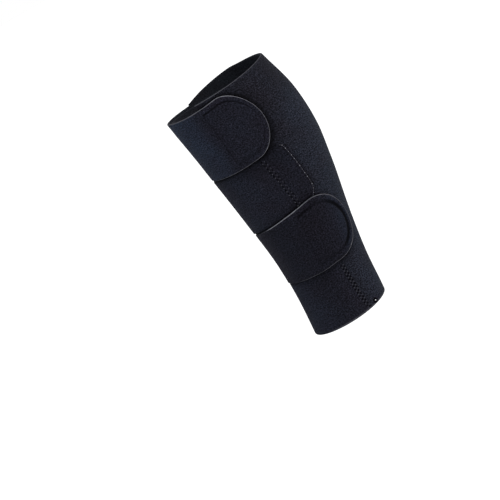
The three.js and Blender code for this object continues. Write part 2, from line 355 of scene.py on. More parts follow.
def weld(piece):
    """Joins the points that the grid repeats along a tongue's middle line."""
    shape = bmesh.new()
    shape.from_mesh(piece.data)
    bmesh.ops.remove_doubles(shape, verts=shape.verts, dist=TINY)
    shape.to_mesh(piece.data)
    shape.free()


def quads(a, b, c, d):
    """Rows of four corners from four arrays of point numbers."""
    return np.stack([a, b, c, d], axis=-1).reshape(-1, 4)


def sheet_piece(
    name, place, depths, edge, girth, finishes,
    seam=FAR, radius=CUT_RADIUS, band=CUT_BAND, folded=False, **shares,
):
    """Closed sheet over a grid: outer and inner face at their depths, walls round the border.

    edge is each place's distance from a cut edge and seam that from a butted one; both faces turn
    in there by a quarter circle. The face shows a band along a cut edge, as pale as the share pale
    says, partly the foam's own paleness and partly painted highlight. The other shares are how much
    painted shade a place gets, with plain darkening in a few places; how much painted bluish light it
    gets; and clear, its distance from a layer that lies on it, which sets the painted shadow beside
    that layer. The finishes are those of the face, the band, the inner face and the walls; the pale
    band and the dark walls are lit and shaded tones of one cut foam.
    A folded grid has its last row on the sheet's own middle line, so it gets no wall there.
    """
    angle, height = place
    inner, outer = depths
    turn = np.maximum(rounded(edge, radius), rounded(seam, SEAM_RADIUS))
    top = wrap_point(angle, height, outer - turn)
    under = wrap_point(angle, height, inner + turn)
    size = angle.size
    o = np.arange(size).reshape(angle.shape)
    i = o + size
    face = quads(o[:-1, :-1], o[1:, :-1], o[1:, 1:], o[:-1, 1:])
    lining = quads(i[:-1, :-1], i[:-1, 1:], i[1:, 1:], i[1:, :-1])
    borders = [
        (o[:-1, 0], o[1:, 0]),
        (o[-1, :-1], o[-1, 1:]),
        (o[0, 1:], o[0, :-1]),
    ]
    if not folded:
        borders.append((o[1:, -1], o[:-1, -1]))
    walls = [quads(b, a, a + size, b + size) for a, b in borders]
    on_cut = (edge - band).ravel()[face].mean(axis=1) < 0.0
    kinds = [np.where(on_cut, 1, 0), np.full(len(lining), 2)] + [np.full(len(w), 3) for w in walls]
    points = np.concatenate([top.reshape(-1, 3), under.reshape(-1, 3)])
    uv = np.tile(np.stack([girth.ravel(), height.ravel()], axis=-1), (2, 1))
    faces = np.concatenate([face, lining] + walls)
    values = {
        label: np.stack([
            np.broadcast_to(shares.get(label, plain), angle.shape),
            np.full(angle.shape, plain),
        ])
        for label, plain in PLAIN.items()
    }
    piece = mesh_object(name, points, faces, np.concatenate(kinds), finishes, uv, values)
    if folded:
        weld(piece)
    return piece


# Threads

STITCH_PLACES, KNOT_PLACES = 7, 5  # places along one stitch and along one knot
STITCH_SINK, STITCH_RISE = 0.3, 0.12  # how deep its ends dive and how high it stands
STITCH_POWER, ZIGZAG_POWER = 0.5, 0.4  # how soon a stitch comes up: powers of its arch
THREAD_TAPER = 0.66  # share of its radius that a thread loses at both ends


def thread_piece(name, angle, height, depth, radius, finish):
    """Threads laid on the wrap: a row of places per thread, with a six-sided ring at each place.

    The ring's radius, one for all or one for each thread, falls to a third at both ends, where the
    thread dives into the cloth.
    """
    line = wrap_point(angle, height, depth)
    normal = outward(angle, height)
    forward = np.gradient(line, axis=1)
    forward /= np.linalg.norm(forward, axis=-1, keepdims=True)
    side = np.cross(forward, normal)
    side /= np.linalg.norm(side, axis=-1, keepdims=True)
    up = np.cross(side, forward)
    threads, places = angle.shape
    t = np.linspace(-1.0, 1.0, places)
    thick = np.broadcast_to(radius, threads)[:, None] * (1.0 - THREAD_TAPER * np.abs(t) ** 4)
    thick = thick[:, :, None, None]
    turn = np.radians(np.arange(6) * 60.0)
    ring = (
        line[:, :, None]
        + side[:, :, None] * (np.cos(turn)[:, None] * thick)
        + up[:, :, None] * (np.sin(turn)[:, None] * thick)
    )
    k = np.arange(threads * places * 6).reshape(threads, places, 6)
    k_next = np.roll(k, -1, axis=2)
    skin = quads(k[:, :-1], k[:, 1:], k_next[:, 1:], k_next[:, :-1])
    first, last = k[:, 0], k[:, -1]
    ends = [first[:, [0, 1, 2, 3]], first[:, [0, 3, 4, 5]], last[:, [3, 2, 1, 0]], last[:, [5, 4, 3, 0]]]
    faces = np.concatenate([skin] + ends)
    return mesh_object(name, ring.reshape(-1, 3), faces, np.zeros(len(faces)), [finish])


def stitch_arch(t, rise, power):
    """Height of a stitch over the cloth: a power of a half sine wave, sunk at both ends."""
    return -STITCH_SINK + (STITCH_SINK + rise) * np.sin(np.pi * t) ** power


def running_stitch(angle, height, depth, pitch, share=0.7, start=0.0, rise=STITCH_RISE):
    """Separate stitches along a line: each covers a share of the pitch and arches over the cloth."""
    run = run_length(wrap_point(angle, height, depth))
    count = int(run[-1] / pitch - start)
    t = np.linspace(0.0, 1.0, STITCH_PLACES)
    place = (np.arange(count)[:, None] + start + (1 - share) / 2 + share * t) * pitch
    on = [np.interp(place, run, column) for column in (angle, height, depth)]
    return on[0], on[1], on[2] + stitch_arch(t, rise, STITCH_POWER)


def zigzag_stitch(low, high, middle, half_width, step, surface):
    """Threads that cross a seam to and fro while they climb it, one stroke per step."""
    count = int((high - low) / step)
    t = np.linspace(0.0, 1.0, STITCH_PLACES)
    stroke = np.arange(count)[:, None]
    height = low + (stroke + t) * step
    across = half_width * (2.0 * t - 1.0) * np.where(stroke % 2, -1.0, 1.0)
    angle = middle(height)
    angle = angle + across / girth_per_degree(angle, height)
    return angle, height, surface(angle, height) + stitch_arch(t, STITCH_RISE, ZIGZAG_POWER)


def seam_knots(low, high, middle, half_width, step, surface, side, first, rise, length):
    """Short knots at every second turn of a zigzag: side is -1 before the seam, 1 behind it."""
    stroke = np.arange(first, int((high - low) / step) + 1, 2)[:, None]
    height = low + stroke * step + length * np.linspace(-0.5, 0.5, KNOT_PLACES)
    angle = middle(height)
    angle = angle + half_width * side / girth_per_degree(angle, height)
    return angle, height, surface(angle, height) + rise


# Sheets


def calf_depth(angle):
    """On the inner face, then climbing by one layer over the front panel's end."""
    return ON_PANEL * smooth(angle, LAP_START, LAP_FULL)


def ripple(angle, height):
    """Slight unevenness of stretched cloth: slow sine waves round the wrap and up it."""
    a = np.radians(angle)
    return sum(
        rise * np.sin(turns * a + climb * height + sway * np.sin(2.0 * a))
        for rise, turns, climb, sway in RIPPLES
    )


def pull_lines(angle, height):
    """Fine folds that fan out behind the upper tab's end: a sine of the direction from it."""
    away, rise = (angle - PULL_FROM[0]) * PULL_GIRTH, height - PULL_FROM[1]
    fan = within(np.hypot(away, rise), PULL_NEAR, PULL_PAST) * smooth(away, *PULL_BEHIND)
    return PULL_RISE * np.sin(PULL_FOLDS * np.arctan2(rise, away)) * fan


def outside_tab(tab, angle, height):
    """Distance outside a tab's outline: across its straight part, or from the ellipse of its end.

    The ellipse's own measure, less one, is divided by its slope per millimetre. Where the tab's shade
    reaches further, a millimetre counts less, and above the tab's end it counts more.
    """
    low = along(tab, "angle", "low", angle)
    half = (along(tab, "angle", "high", angle) - low) / 2.0
    across = (height - low) / half - 1.0
    forward = np.maximum(angle - tab["tip"] + tab["round"], 0.0) / tab["round"]
    ring = np.hypot(across, forward) + TINY
    ahead = forward / (tab["round"] * tab["girth"]) / ring
    aside = across / half / ring
    slope = np.hypot(ahead, aside) + TINY
    ahead = ahead / slope
    below, above = np.maximum(-aside, 0.0) / slope, np.maximum(aside, 0.0) / slope
    by_below, by_ahead, by_both = tab["reach"]
    reach = 1.0 + by_below * below + by_ahead * ahead + by_both * below * ahead
    less, begins = SHADE_LESS
    reach = reach / (1.0 + less * above * smooth(angle, *begins))
    return (ring - 1.0) / slope / reach


def clear_of_tabs(angle, height):
    """Distance to the nearer tab, none below it."""
    tabs = [outside_tab(tab, angle, height) for tab in TABS.values()]
    return np.maximum(np.minimum(*tabs), 0.0)


def clear_of_layers(angle, height):
    """Distance to the nearest layer lying on the panels: a tab, or the patch's back edge."""
    off_patch = (angle - seam_angle(height) - patch_back(height)) * PATCH_GIRTH
    beside = np.maximum(PATCH_LOW - height, height - PATCH_HIGH)
    off_patch = np.where(off_patch > 0, np.maximum(off_patch, beside), FAR)
    return np.minimum(clear_of_tabs(angle, height), off_patch)


def edge_pale(tab, angle, height):
    """How pale a tab's cut edge is, partly its own paleness and partly painted highlight and shade: a table
    for its lower and one for its upper edge, mixed between.
    """
    low = along(tab, "pale_at", "pale_low", angle)
    high = along(tab, "pale_at", "pale_high", angle)
    return low + (high - low) * smooth(height - tab["middle"], -PALE_MIX, PALE_MIX)


def calf_panel(finishes):
    """Sheet from the side seam round the calf side to the tabs' root."""
    across, up = border_grid(CALF_GRID)
    last = 360.0 + TAB_ROOT - SEAM_GAP
    low = lower_rim(SEAM_LOW + (last - SEAM_LOW) * across)
    height = low + (upper_rim(SEAM_HIGH + (last - SEAM_HIGH) * across) - low) * up
    start = seam_angle(height) + SEAM_GAP
    angle = start + (last - start) * across
    run = run_length(wrap_point(angle, height, LAMINATE))
    to_end = run[-1] - run
    at_tab = np.zeros(height.shape, bool)
    for tab in TABS.values():
        at_tab |= (height > tab["low"][0] - ROOT_PAST) & (height < tab["high"][0] + ROOT_PAST)
    tall = CALF_GRID[1][0]
    edge = np.minimum(np.minimum(up, 1 - up) * tall, np.where(at_tab, FAR, to_end))
    seam = np.minimum(run, np.where(at_tab, to_end, FAR))
    inner = calf_depth(angle)
    slack = smooth(np.minimum(edge, seam), *CALF_SLACK[0]) * smooth(angle, *CALF_SLACK[1])
    swell = np.where(angle > LAP_START - LAP_CALM, 0.0, ripple(angle, height) * slack)
    outer = inner + LAMINATE + swell + pull_lines(angle, height)
    return sheet_piece(
        "calf_panel_cloth", (angle, height), (inner, outer), edge, run, finishes, seam,
        band=np.where(up < 0.5, LOW_BAND, CUT_BAND),
        # pale rim band, partly the foam's own paleness and partly painted highlight, less behind
        pale=np.where(up < 0.5, LOW_PALE, CALF_RIM_PALE - shade(angle, *CALF_BACK_LESS)),
        # painted shade beside the side seam and towards the top
        pressed=np.maximum(shade(run, *CALF_SEAM_SHADE), shade(height, *CALF_TOP_SHADE)),
        # painted bluish light towards the calf side, less towards the top
        faded=shade(angle, *CALF_PAINTED_LIGHT) * (1.0 - smooth(height, *CALF_TOP_SHADE[1])),
        clear=clear_of_layers(angle, height),
    )


def front_panel(finishes):
    """Sheet from its hidden end round the shin side to the side seam."""
    across, up = border_grid(FRONT_GRID)
    low = lower_rim(FRONT_END + (SEAM_LOW - FRONT_END) * across)
    height = low + (FRONT_TOP - low) * up
    end = seam_angle(height) - SEAM_GAP
    angle = FRONT_END + (end - FRONT_END) * across
    run = run_length(wrap_point(angle, height, LAMINATE))
    edge = np.minimum(run, np.minimum(up, 1 - up) * FRONT_GRID[1][0])
    return sheet_piece(
        "front_panel_cloth", (angle, height), (0.0, LAMINATE), edge, run - run[-1], finishes, run[-1] - run,
        band=LOW_BAND,
        # pale band, partly the foam's own paleness and partly painted highlight
        pale=shade(angle, *FRONT_PALE),
        # darker towards the bottom, between the shin side and the seam
        pressed=shade(height, *FRONT_DARK) * within(angle, *FRONT_DARK_ROUND),
        # painted bluish light towards the shin side
        faded=shade(angle, *FRONT_PAINTED_LIGHT),
        clear=clear_of_layers(angle, height),
    )


def tongue_grid(tab, root, inset, tip_inset, rows, step):
    """Round-ended tongue as a grid folded on its middle line.

    Columns run along the lower edge, round the end as an ellipse, and back along the upper edge.
    Rows go from the edge, where the share is 1, to the middle line, where it is 0.
    """
    end = tab["tip"] - tip_inset - tab["round"]
    straight = np.linspace(root, end, int((end - root) * tab["girth"] / step))
    turn = np.radians(np.linspace(-90, 90, int(END_RUN / step))[1:-1])
    share = rows[None, :]
    forth = straight[:, None] + 0.0 * share
    angle = np.concatenate([forth, end + tab["round"] * np.cos(turn)[:, None] * share, forth[::-1]])
    side = np.concatenate([-np.ones(len(straight)), np.sin(turn), np.ones(len(straight))])
    across = side[:, None] * share
    low = along(tab, "angle", "low", angle) + inset
    high = along(tab, "angle", "high", angle) - inset
    height = low + (high - low) * (1.0 + across) / 2.0
    return angle, height


def root_angle(tab, height):
    """Straight edge of the pad, leaning a little with the height."""
    return tab["pad_root"] + ROOT_INSET + ROOT_TILT * (height - tab["middle"])


def tab_relief(tab, angle, height, edge):
    """Padded end of a tab: a low crown inside a D of stitched groove.

    Gives the rise of the face and, from 0 to 1, the painted shade in the groove and along the root.
    """
    deep, wide = tab["groove"]
    past_root = (angle - root_angle(tab, height)) * tab["girth"]
    inside = edge - tab["stitch"]
    end, end_begins = tab["groove_end"]
    end = end * smooth(angle, *end_begins)
    top, top_fades = tab["groove_top"]
    upper_part = smooth(height, tab["middle"] + GROOVE_TOP[0], tab["middle"] + GROOVE_TOP[1])
    top = top * upper_part * (1.0 - smooth(angle, *top_fades))
    strong = GROOVE_LEAST + (1.0 - GROOVE_LEAST) * np.maximum(top, end)
    wide = wide * (1.0 + GROOVE_WIDER * end)
    outline = np.exp(-((inside / wide) ** 4)) * smooth(past_root, *GROOVE_START)
    root = np.exp(-((past_root / ROOT_LINE) ** 2)) * smooth(inside, *ROOT_ENDS)
    crown = tab["crown"] * smooth(inside, *CROWN_RISE) * smooth(past_root, *CROWN_RISE)
    # painted shade in the groove and along the root
    dark = np.maximum(tab["shade"][0] * outline * strong, tab["shade"][1] * root)
    return crown - deep * outline * strong - tab["root"] * root, dark


def tab_lift(tab, angle, height, edge):
    """Rise of a tab's end over its hook pad, easing down towards the cut edge, and over the patch."""
    over_pad = smooth(angle, tab["pad_root"] + PAD_RISE[0], tab["pad_root"] + PAD_RISE[1])
    seam = seam_angle(height)
    back = seam + PATCH_WIDTH
    ahead, clear, behind = OVER_PATCH
    round_patch = within(angle, (seam - ahead, seam), (back + clear, back + behind))
    far, near = UP_PATCH
    up_patch = within(height, (PATCH_LOW - far, PATCH_LOW - near), (PATCH_HIGH + near, PATCH_HIGH + far))
    return (TRIM + GAP) * over_pad * np.maximum(grown(edge, *PAD_EASE), round_patch * up_patch)


def tab_piece(name, tab, finishes):
    """Tab: root seam to round end, raised over its hook pad, with the pad's relief on its face."""
    from_edge = np.concatenate([EDGE_STEPS, GROOVE_ROWS, MIDDLE_ROWS])
    rows = 1.0 - from_edge / TAB_HALF
    angle, height = tongue_grid(tab, TAB_ROOT + SEAM_GAP, 0.0, 0.0, rows, TAB_STEP)
    edge = from_edge[None, :] + 0.0 * angle
    to_root = (angle - TAB_ROOT - SEAM_GAP) * tab["girth"]
    inner = ON_PANEL + tab_lift(tab, angle, height, edge)
    relief, pressed = tab_relief(tab, angle, height, edge)
    slack = smooth(edge, *TAB_SLACK[0]) * smooth(to_root, *TAB_SLACK[1])
    uneven = TAB_RIPPLE * ripple(angle * TAB_CLOSER, height) * slack
    depths = (inner, inner + LAMINATE + relief + uneven)
    from_pad, from_tip = angle - tab["pad_root"], angle - tab["tip"]
    free = (1.0 - smooth(from_pad, *FREE_LIGHT_END)) * grown(angle, *FREE_ROUND) * grown(height, *FREE_UP)
    free_faded, tip_faded = tab["faded"]
    return sheet_piece(
        name, (angle, height), depths, edge, angle * tab["girth"], finishes, to_root,
        band=CUT_BAND + tab["pale_wide"] * smooth(from_tip, *TIP_BAND),
        # pale edges, partly the foam's own paleness and partly painted highlight and shade
        pale=edge_pale(tab, angle, height),
        # painted shade in the groove, with the lower tab's plain darkening
        pressed=np.maximum(pressed, tab["dark"] * within(angle, *END_DARK)),
        # painted bluish light on the free part and near the tip
        faded=np.maximum(free_faded * free, tip_faded * smooth(from_tip, *TIP_LIGHT)),
        folded=True,
    )


def pad_piece(name, tab, finishes):
    """Hook pad: the tab's end, set in from its edge, as a thin sheet under it."""
    angle, height = tongue_grid(tab, tab["pad_root"], PAD_INSET, tab["pad_inset"], PAD_ROWS, PAD_STEP)
    edge = PAD_HALF * (1.0 - PAD_ROWS)[None, :] + 0.0 * angle
    return sheet_piece(
        name, (angle, height), TRIM_DEPTHS, edge, angle * tab["girth"], finishes,
        radius=PAD_RADIUS, folded=True,
    )


def corner_cut(corner, distance):
    """How far an elliptic corner cuts in at a distance from the end of its edge."""
    room = np.clip(distance / corner[0], 0.0, 1.0)
    return corner[1] * (1.0 - np.sqrt(1.0 - (1.0 - room) ** 2))


def patch_back(height):
    """Back edge of the patch in degrees behind the seam."""
    low_cut = corner_cut(PATCH_LOW_CORNER, height - PATCH_LOW)
    return PATCH_WIDTH - low_cut - corner_cut(PATCH_HIGH_CORNER, PATCH_HIGH - height)


def side_patch(finishes):
    """Thin patch behind the side seam, between the tabs."""
    length = PATCH_HIGH - PATCH_LOW
    across, up = border_grid(PATCH_GRID)
    height = PATCH_LOW + length * up
    angle = seam_angle(height) + PATCH_START + (patch_back(height) - PATCH_START) * across
    run = run_length(wrap_point(angle, height, LAMINATE))
    from_back = run[-1] - run
    edge = np.minimum(np.minimum(run, from_back), np.minimum(up, 1 - up) * length)
    line_darkness, line_at, line_half = PATCH_GROOVE_SHADE
    groove_shade = line_darkness * np.exp(-(((from_back - line_at) / line_half) ** 2))
    return sheet_piece(
        "side_patch_cloth", (angle, height), TRIM_DEPTHS, edge, run, finishes,
        radius=PATCH_RADIUS,
        # painted shade of a groove inside the back edge and along the edge itself
        pressed=np.maximum(groove_shade, shade(from_back, *PATCH_EDGE_SHADE)),
        clear=clear_of_tabs(angle, height),
    )


def seam_surface(angle, height):
    """Depth of the outer face beside the side seam: the panel, or the patch where it lies."""
    behind = angle - seam_angle(height)
    near = UP_PATCH[1]
    up_patch = within(height, (PATCH_LOW - near, PATCH_LOW), (PATCH_HIGH, PATCH_HIGH + near))
    return LAMINATE + smooth(behind, *ONTO_PATCH) * up_patch * (TRIM + GAP)


def pad_outline(tab):
    """Closed D that the pad's stitching follows: edge line, round end, and the straight root."""
    rows = np.array([1.0 - tab["stitch"] / TAB_HALF])
    angle, height = tongue_grid(tab, tab["pad_root"], 0.0, 0.0, rows, OUTLINE_STEP)
    angle, height = angle[:, 0], height[:, 0]
    kept = angle >= root_angle(tab, height)
    angle, height = angle[kept], height[kept]
    root_height = np.linspace(height[-1], height[0], ROOT_PLACES)
    angle = np.concatenate([angle, root_angle(tab, root_height)])
    height = np.concatenate([height, root_height])
    edge = tab["stitch"] + np.repeat([0.0, ROOT_WITHIN], [kept.sum(), ROOT_PLACES])
    lift = tab_lift(tab, angle, height, edge)
    return angle, height, ON_PANEL + lift + LAMINATE + tab_relief(tab, angle, height, edge)[0]


# Finishes

AREA_TINTS = (0.95, 0.88, 0.88), (1.02, 1.12, 1.14)  # the slow shift from one area to another
# Tints for painted bluish light, and for painted shade with plain darkening
PAINTED_LIGHT_TINT, SHADE_AND_DARKENING_TINT = (1.5, 2.0, 2.15, 1.0), (0.1, 0.1, 0.1, 1.0)
FLECK_TONE, PIT_TONE, PIT_MORE = 3.0, 0.3, 1.3  # tones of flecks and pits, and how many pits to a fleck
CONTACT_REACH = 10.0  # distance over which a layer shades what it lies on
CONTACT_SHADE = [(0.0, 0.12), (1.0, 0.36), (2.6, 0.78), (9.0, 1.0)]  # distance, and share of light left


def finish_nodes(name, roughness, specular):
    """Material with one shader, its roughness and its specular level."""
    material = bpy.data.materials.new(name)
    material.use_nodes = True
    tree = material.node_tree
    tree.nodes.clear()
    shader = tree.nodes.new("ShaderNodeBsdfPrincipled")
    shader.inputs["Roughness"].default_value = roughness
    shader.inputs["Specular IOR Level"].default_value = specular
    output = tree.nodes.new("ShaderNodeOutputMaterial")
    tree.links.new(shader.outputs[0], output.inputs[0])
    return material, tree, shader


def plug(tree, made, key, value):
    """Links a socket to an input, or sets the input to a constant."""
    if isinstance(value, bpy.types.NodeSocket):
        tree.links.new(value, made.inputs[key])
    else:
        made.inputs[key].default_value = value


def node(tree, kind, inputs=(), **settings):
    """New node with its settings and inputs."""
    made = tree.nodes.new(kind)
    for key, value in settings.items():
        setattr(made, key, value)
    for key, value in dict(inputs).items():
        plug(tree, made, key, value)
    return made


def math_node(tree, operation, *values):
    """One sum, product or comparison of the values."""
    made = node(tree, "ShaderNodeMath", dict(enumerate(values)), operation=operation)
    return made.outputs[0]


def mix_node(tree, factor, first, second, blend="MIX"):
    """Colour mix; the sockets of a colour mix node are its factor 0, first 6 and second 7."""
    made = node(tree, "ShaderNodeMix", {}, data_type="RGBA", blend_type=blend)
    for key, value in ((0, factor), (6, first), (7, second)):
        plug(tree, made, key, value)
    return made.outputs[2]


def times(tree, colour, tint):
    """Colour multiplied by a tint."""
    return mix_node(tree, 1.0, colour, tint, "MULTIPLY")


def noise_node(tree, place, scale, detail, roughness=0.5):
    """Fractal noise at a place."""
    inputs = {"Vector": place, "Scale": scale, "Detail": detail, "Roughness": roughness}
    return node(tree, "ShaderNodeTexNoise", inputs)


def share_node(tree, name):
    """Value that the mesh gives each of its points under a name."""
    return node(tree, "ShaderNodeAttribute", attribute_name=name).outputs["Fac"]


def bump_node(tree, shader, height, strength, distance, invert=False):
    """Bump on the shader's normal; its distance is in metres."""
    inputs = {"Height": height, "Strength": strength, "Distance": distance}
    bump = node(tree, "ShaderNodeBump", inputs, invert=invert)
    plug(tree, shader, "Normal", bump.outputs["Normal"])


def ramp(tree, factor, stops):
    """Colours between stops, each a position and its colour."""
    made = node(tree, "ShaderNodeValToRGB", {"Fac": factor})
    elements = made.color_ramp.elements
    while len(elements) < len(stops):
        elements.new(0.5)
    for element, (position, colour) in zip(elements, stops):
        element.position = position
        element.color = (*colour, 1.0)
    return made.outputs["Color"]


def scaled(colour, share):
    """Colour with each channel times a share."""
    return tuple(channel * share for channel in colour)


def speckled(tree, cloth, colour, tone, fleck_share):
    """Voronoi cells, strayed by noise, of which a share are pale flecks and others dark pits."""
    stray = noise_node(tree, cloth, 16.0, 1.0)
    inputs = {0: stray.outputs["Color"], 1: (0.11,) * 3, 2: cloth}
    off_grid = node(tree, "ShaderNodeVectorMath", inputs, operation="MULTIPLY_ADD")
    specks = node(tree, "ShaderNodeTexVoronoi", {"Vector": off_grid.outputs[0], "Scale": 10.0})
    chance = node(tree, "ShaderNodeSeparateColor", {"Color": specks.outputs["Color"]}).outputs[0]
    near = math_node(tree, "LESS_THAN", specks.outputs["Distance"], 0.42)
    pale = math_node(tree, "MULTIPLY", math_node(tree, "GREATER_THAN", chance, 1.0 - fleck_share), near)
    dark = math_node(tree, "MULTIPLY", math_node(tree, "LESS_THAN", chance, PIT_MORE * fleck_share), near)
    flecked = mix_node(tree, pale, colour, (*scaled(tone, FLECK_TONE), 1.0))
    return mix_node(tree, dark, flecked, (*scaled(tone, PIT_TONE), 1.0))


def knit_loops(tree, cloth):
    """Wales times courses: two crossed waves."""
    wales = node(tree, "ShaderNodeTexWave", {"Vector": cloth, "Scale": 3.3, "Distortion": 0.6})
    inputs = {"Vector": cloth, "Scale": 4.2, "Distortion": 0.6}
    courses = node(tree, "ShaderNodeTexWave", inputs, bands_direction="Y")
    return math_node(tree, "MULTIPLY", wales.outputs["Fac"], courses.outputs["Fac"])


def knit_finish(name, tone, heather, fleck_share, pile, sheen):
    """Knit face cloth on its cloth map.

    Fine noise heathers the yarn, slow noise shifts whole areas, Voronoi cells give pale flecks and
    dark pits, and crossed waves with fuzz raise wales and courses and darken the colour between the
    loops, painted shade. Painted bluish light makes the cloth lighter and bluer where its share says;
    painted shadow darkens it close to a layer that lies on it, and painted shade in stitched grooves,
    beside seams and along edges, with plain darkening in a few places.
    """
    material, tree, shader = finish_nodes(name, roughness=0.92, specular=0.04)
    cloth = node(tree, "ShaderNodeUVMap", uv_map="cloth").outputs["UV"]
    yarn = noise_node(tree, cloth, 7.2, 2.0, 0.6).outputs["Fac"]
    colour = ramp(tree, yarn, [(0.36, scaled(tone, 1.0 - heather)), (0.64, scaled(tone, 1.0 + heather))])
    slow = noise_node(tree, cloth, 0.3, 2.0).outputs["Fac"]
    colour = times(tree, colour, ramp(tree, slow, [(0.3, AREA_TINTS[0]), (0.7, AREA_TINTS[1])]))
    # painted bluish light: lighter and bluer
    colour = mix_node(tree, share_node(tree, "faded"), colour, times(tree, colour, PAINTED_LIGHT_TINT))
    colour = speckled(tree, cloth, colour, tone, fleck_share)
    loops = knit_loops(tree, cloth)
    # painted shade between the knit's loops
    colour = times(tree, colour, ramp(tree, loops, [(0.0, (0.72,) * 3), (0.8, (1.3,) * 3)]))
    # painted shadow beside a layer that lies on the cloth
    clear = math_node(tree, "MULTIPLY", share_node(tree, "clear"), 1.0 / CONTACT_REACH)
    contact = [(distance / CONTACT_REACH, (light,) * 3) for distance, light in CONTACT_SHADE]
    colour = times(tree, colour, ramp(tree, clear, contact))
    # painted shade of grooves, seams and edges, with plain darkening in a few places
    colour = mix_node(tree, share_node(tree, "pressed"), colour, times(tree, colour, SHADE_AND_DARKENING_TINT))
    plug(tree, shader, "Base Color", colour)
    fuzz = noise_node(tree, cloth, 14.0, 4.0, 0.7).outputs["Fac"]
    bump_node(tree, shader, math_node(tree, "MULTIPLY_ADD", fuzz, pile, loops), 0.5, 0.0003)
    shader.inputs["Sheen Weight"].default_value = sheen
    shader.inputs["Sheen Roughness"].default_value = 0.4
    shader.inputs["Sheen Tint"].default_value = (0.7, 0.8, 1.0, 1.0)
    return material


def foam_finish(name, dark, light, skin=None):
    """Cut neoprene: fine closed cells, paler on their walls, and darker where the pale share is low."""
    material, tree, shader = finish_nodes(name, roughness=0.85, specular=0.05)
    place = node(tree, "ShaderNodeTexCoord").outputs["Object"]
    cells = node(tree, "ShaderNodeTexVoronoi", {"Vector": place, "Scale": 2600.0}).outputs["Distance"]
    grain = noise_node(tree, place, 300.0, 3.0).outputs["Fac"]
    colour = ramp(tree, math_node(tree, "MULTIPLY_ADD", cells, 0.5, grain), [(0.45, dark), (1.0, light)])
    if skin:
        colour = mix_node(tree, share_node(tree, "pale"), (*skin, 1.0), colour)
    plug(tree, shader, "Base Color", colour)
    bump_node(tree, shader, cells, 0.35, 0.0002)
    return material


def thread_finish(name, dark, light):
    """Twisted thread: fine bands of two tones."""
    material, tree, shader = finish_nodes(name, roughness=0.8, specular=0.0)
    place = node(tree, "ShaderNodeTexCoord").outputs["Object"]
    inputs = {"Vector": place, "Scale": 900.0, "Distortion": 1.5, "Detail": 1.0}
    twist = node(tree, "ShaderNodeTexWave", inputs, bands_direction="DIAGONAL").outputs["Fac"]
    plug(tree, shader, "Base Color", ramp(tree, twist, [(0.2, dark), (0.8, light)]))
    bump_node(tree, shader, twist, 0.3, 0.0001)
    return material


def hook_finish(name, dark, light):
    """Hook tape: a close grid of stiff hooks on a black ground."""
    material, tree, shader = finish_nodes(name, roughness=0.6, specular=0.2)
    cloth = node(tree, "ShaderNodeUVMap", uv_map="cloth").outputs["UV"]
    inputs = {"Vector": cloth, "Scale": 8.0, "Randomness": 0.25}
    hooks = node(tree, "ShaderNodeTexVoronoi", inputs).outputs["Distance"]
    plug(tree, shader, "Base Color", ramp(tree, hooks, [(0.1, light), (0.5, dark)]))
    bump_node(tree, shader, hooks, 0.8, 0.0006, invert=True)
    return material


# Knit faces: tone, heather, share of flecks, pile and sheen
smooth_face = knit_finish("smooth_knit_face", (0.0081, 0.0080, 0.0122), 0.86, 0.09, 0.5, 0.008)
tab_face = knit_finish("tab_knit_face", (0.0078, 0.0077, 0.0119), 0.86, 0.09, 0.5, 0.008)
loop_face = knit_finish("loop_knit_face", (0.0103, 0.0104, 0.0150), 1.0, 0.16, 1.2, 0.012)
patch_face = knit_finish("patch_knit_face", (0.0072, 0.0071, 0.0110), 0.9, 0.09, 0.5, 0.02)
lining = knit_finish("lining_jersey", (0.0090, 0.0094, 0.0120), 0.5, 0.05, 0.6, 0.02)
# Foam, tape and threads: dark and light tone
# The cut foam comes in two tones: pale on the band along a cut edge, partly its own paleness and partly
# painted highlight, and near black on the walls, painted shade.
pale_lit_edge = foam_finish(
    "pale_cut_edge_and_highlight", (0.074, 0.074, 0.084), (0.155, 0.155, 0.174), skin=(0.0075, 0.0074, 0.0113)
)
shaded_foam_wall = foam_finish("painted_shade_foam_wall", (0.0045, 0.0045, 0.0055), (0.0095, 0.0095, 0.0110))
hook_tape = hook_finish("hook_tape", (0.005, 0.005, 0.006), (0.016, 0.016, 0.019))
seam_thread, bright_thread, pale_thread, tab_thread, dim_thread, dark_thread, white_thread = (
    thread_finish(f"{name}_thread", dark, light)
    for name, dark, light in (
        ("seam", (0.0095, 0.0095, 0.0130), (0.0180, 0.0180, 0.0235)),
        ("bright", (0.08, 0.08, 0.09), (0.17, 0.17, 0.185)),
        ("pale", (0.040, 0.040, 0.047), (0.085, 0.085, 0.095)),
        ("tab", (0.0035, 0.0035, 0.0050), (0.0075, 0.0075, 0.0105)),
        ("dim", (0.020, 0.020, 0.026), (0.045, 0.045, 0.053)),
        ("dark", (0.0010, 0.0010, 0.0014), (0.0024, 0.0024, 0.0032)),
        ("white", (0.50, 0.50, 0.50), (0.75, 0.75, 0.75)),
    )
)


# Panels, tabs, pads and patch

calf = finish_piece(calf_panel([loop_face, pale_lit_edge, lining, shaded_foam_wall]), "loop_face", "calf_panel")
front = finish_piece(front_panel([smooth_face, pale_lit_edge, lining, shaded_foam_wall]), "smooth_face", "front_panel")
tab_finishes = [tab_face, pale_lit_edge, lining, shaded_foam_wall]
upper, lower = (
    finish_piece(tab_piece(f"{label}_tab_cloth", tab, tab_finishes), "tab_face", f"{label}_tab")
    for label, tab in TABS.items()
)
upper_pad, lower_pad = (
    finish_piece(pad_piece(f"{label}_hook_tape", tab, [hook_tape] * 4), "hook_tape", f"{label}_hook_pad")
    for label, tab in TABS.items()
)
patch = finish_piece(side_patch([patch_face] * 3 + [shaded_foam_wall]), "patch_cloth", "side_patch")

